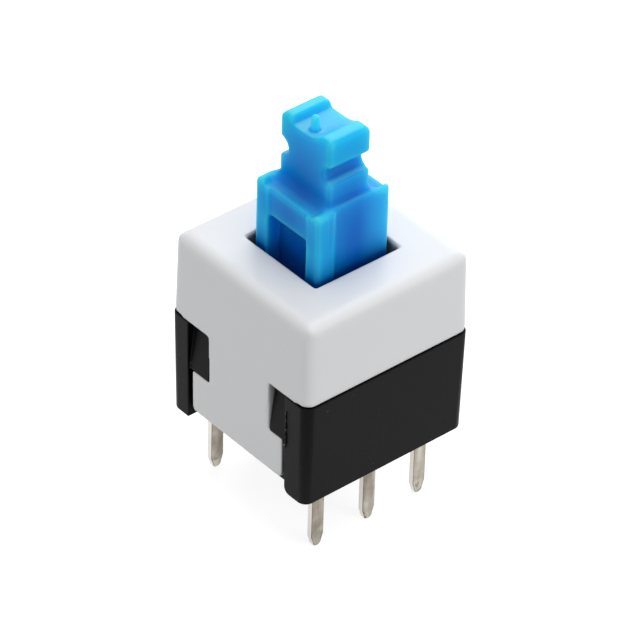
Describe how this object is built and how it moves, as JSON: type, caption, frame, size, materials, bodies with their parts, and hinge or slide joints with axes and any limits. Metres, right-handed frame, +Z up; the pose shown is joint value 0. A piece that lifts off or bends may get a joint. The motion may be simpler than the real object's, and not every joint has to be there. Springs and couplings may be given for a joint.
{
  "type": "pushbutton switch",
  "caption": "Miniature latching pushbutton switch for a printed board: square two-piece housing, sprung plunger with a grooved cap head, heart cam and pin terminals.",
  "frame": {"origin": "centre of the footprint on the underside of the base, where the switch seats on its board", "axes": "+Z up along the plunger, +X along the pin rows, +Y across them; the heart cam and its wire are on the -X side"},
  "size_m": [0.008, 0.008, 0.0173],
  "materials": {
    "base_moulding": "satin moulded",
    "cover_moulding": "smooth moulded",
    "button_moulding": "smooth moulded",
    "terminal_plate": "tin plated",
    "contact_bronze": "rolled strip",
    "spring_steel": "drawn wire"
  },
  "bodies": {
    "case": {"base": "base_moulding", "housing": "cover_moulding", "terminal_front_nc": "terminal_plate", "terminal_front_com": "terminal_plate", "terminal_front_no": "terminal_plate", "terminal_rear_nc": "terminal_plate", "terminal_rear_com": "terminal_plate", "terminal_rear_no": "terminal_plate", "return_spring": "spring_steel", "latch_spring": "spring_steel"},
    "button": {"plunger": "button_moulding", "moving_contact_front": "contact_bronze", "moving_contact_rear": "contact_bronze"},
    "latch": {"latch_wire": "spring_steel"}
  },
  "joints": [
    {"name": "plunger_press", "type": "slide", "parent": "case", "child": "button", "axis": [0, 0, -1], "range_m": [0, 0.0023], "stiffness_N_per_m": 400, "springref_m": -0.0015, "deforming": ["return_spring"]},
    {"name": "latch_swing", "type": "hinge", "parent": "case", "child": "latch", "pos_m": [-0.0021, 0, 0.00135], "axis": [1, 0, 0], "range_deg": [0, 3.5]}
  ],
  "couplings": [
    {"joint": "latch_swing", "follows": "plunger_press", "rad_per_m": 25.53}
  ]
}
